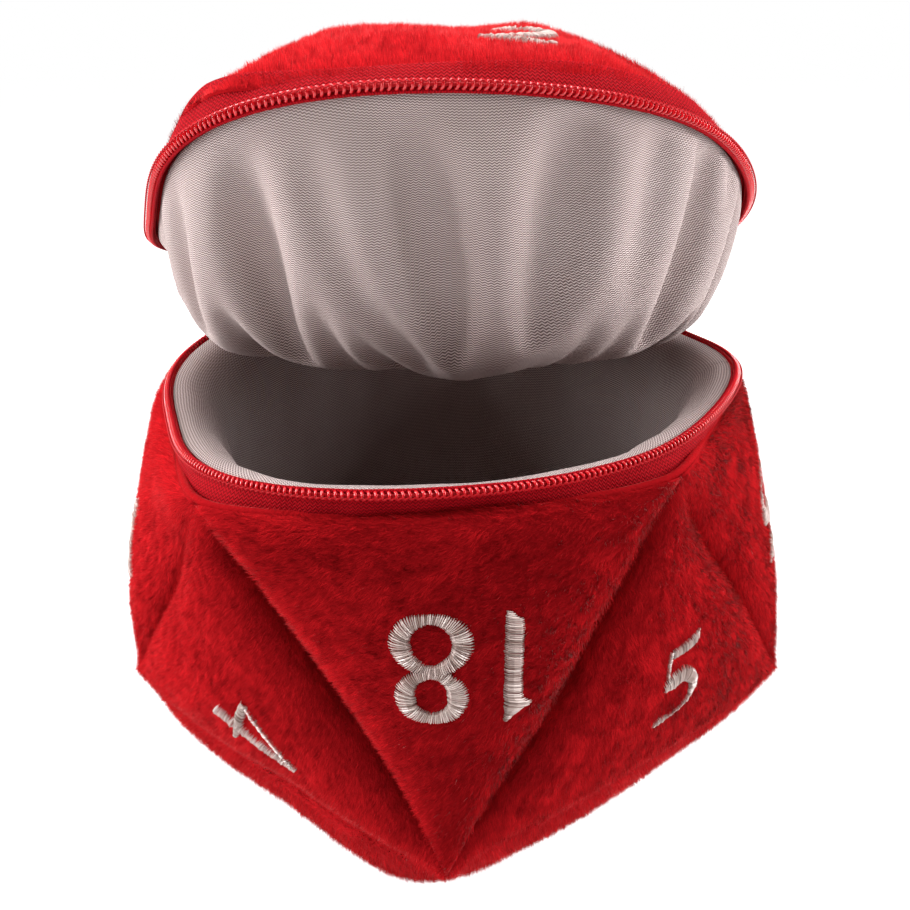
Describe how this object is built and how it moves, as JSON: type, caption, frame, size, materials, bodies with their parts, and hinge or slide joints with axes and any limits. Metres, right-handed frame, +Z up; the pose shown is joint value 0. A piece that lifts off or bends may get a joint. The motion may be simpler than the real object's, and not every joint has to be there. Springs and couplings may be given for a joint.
{
  "type": "plush dice bag",
  "caption": "Soft twenty-sided plush dice bag with embroidered numbers, a hinged zip-round lid, a coil zipper with slider and a white lining.",
  "frame": {"origin": "centre of the flat base, on the surface the bag stands on", "axes": "+Z up, -Y the front with the number 18, +X to the right seen from the front"},
  "size_m": [0.156, 0.1563, 0.1663],
  "materials": {
    "red_plush": "short-pile plush",
    "embroidery_thread": "satin stitch",
    "wadding": "matte",
    "white_lining": "matte knit",
    "red_tape": "woven",
    "red_nylon": "semi-gloss",
    "slider_metal": "gloss enamel"
  },
  "bodies": {
    "bag": {"panel_18": "red_plush", "panel_14": "red_plush", "panel_16": "red_plush", "panel_17": "red_plush", "panel_15": "red_plush", "panel_4": "red_plush", "panel_6": "red_plush", "panel_3": "red_plush", "panel_7": "red_plush", "panel_5": "red_plush", "panel_11": "red_plush", "panel_9": "red_plush", "panel_19": "red_plush", "panel_1": "red_plush", "panel_13": "red_plush", "number_18": "embroidery_thread", "number_14": "embroidery_thread", "number_16": "embroidery_thread", "number_17": "embroidery_thread", "number_15": "embroidery_thread", "number_4": "embroidery_thread", "number_6": "embroidery_thread", "number_3": "embroidery_thread", "number_7": "embroidery_thread", "number_5": "embroidery_thread", "number_11": "embroidery_thread", "number_9": "embroidery_thread", "number_19": "embroidery_thread", "number_1": "embroidery_thread", "number_13": "embroidery_thread", "bag_padding": "wadding", "bag_lining": "white_lining", "bag_zip_tape": "red_tape", "bag_zip_coil": "red_nylon", "bag_zip_stops": "red_nylon", "bag_gusset": "red_tape"},
    "lid": {"panel_2": "red_plush", "panel_20": "red_plush", "panel_8": "red_plush", "panel_10": "red_plush", "panel_12": "red_plush", "number_2": "embroidery_thread", "number_20": "embroidery_thread", "number_8": "embroidery_thread", "number_10": "embroidery_thread", "number_12": "embroidery_thread", "lid_padding": "wadding", "lid_lining": "white_lining", "lid_zip_tape": "red_tape", "lid_zip_coil": "red_nylon", "lid_zip_stops": "red_nylon", "lid_gusset": "red_tape"},
    "slider": {"zip_slider": "slider_metal"},
    "pull": {"pull_tab": "slider_metal"}
  },
  "joints": [
    {"name": "lid_hinge", "type": "hinge", "parent": "bag", "child": "lid", "pos_m": [0, 0.071, 0.096], "axis": [-1, 0, 0], "range_deg": [-25, 125]},
    {"name": "slider_travel", "type": "hinge", "parent": "bag", "child": "slider", "pos_m": [0, 0, 0.096], "axis": [0, 0, -1], "range_deg": [0, 288]},
    {"name": "pull_swing", "type": "hinge", "parent": "slider", "child": "pull", "pos_m": [0.0422, 0.05809, 0.096], "axis": [0.809, -0.5878, 0], "range_deg": [0, 110]}
  ]
}
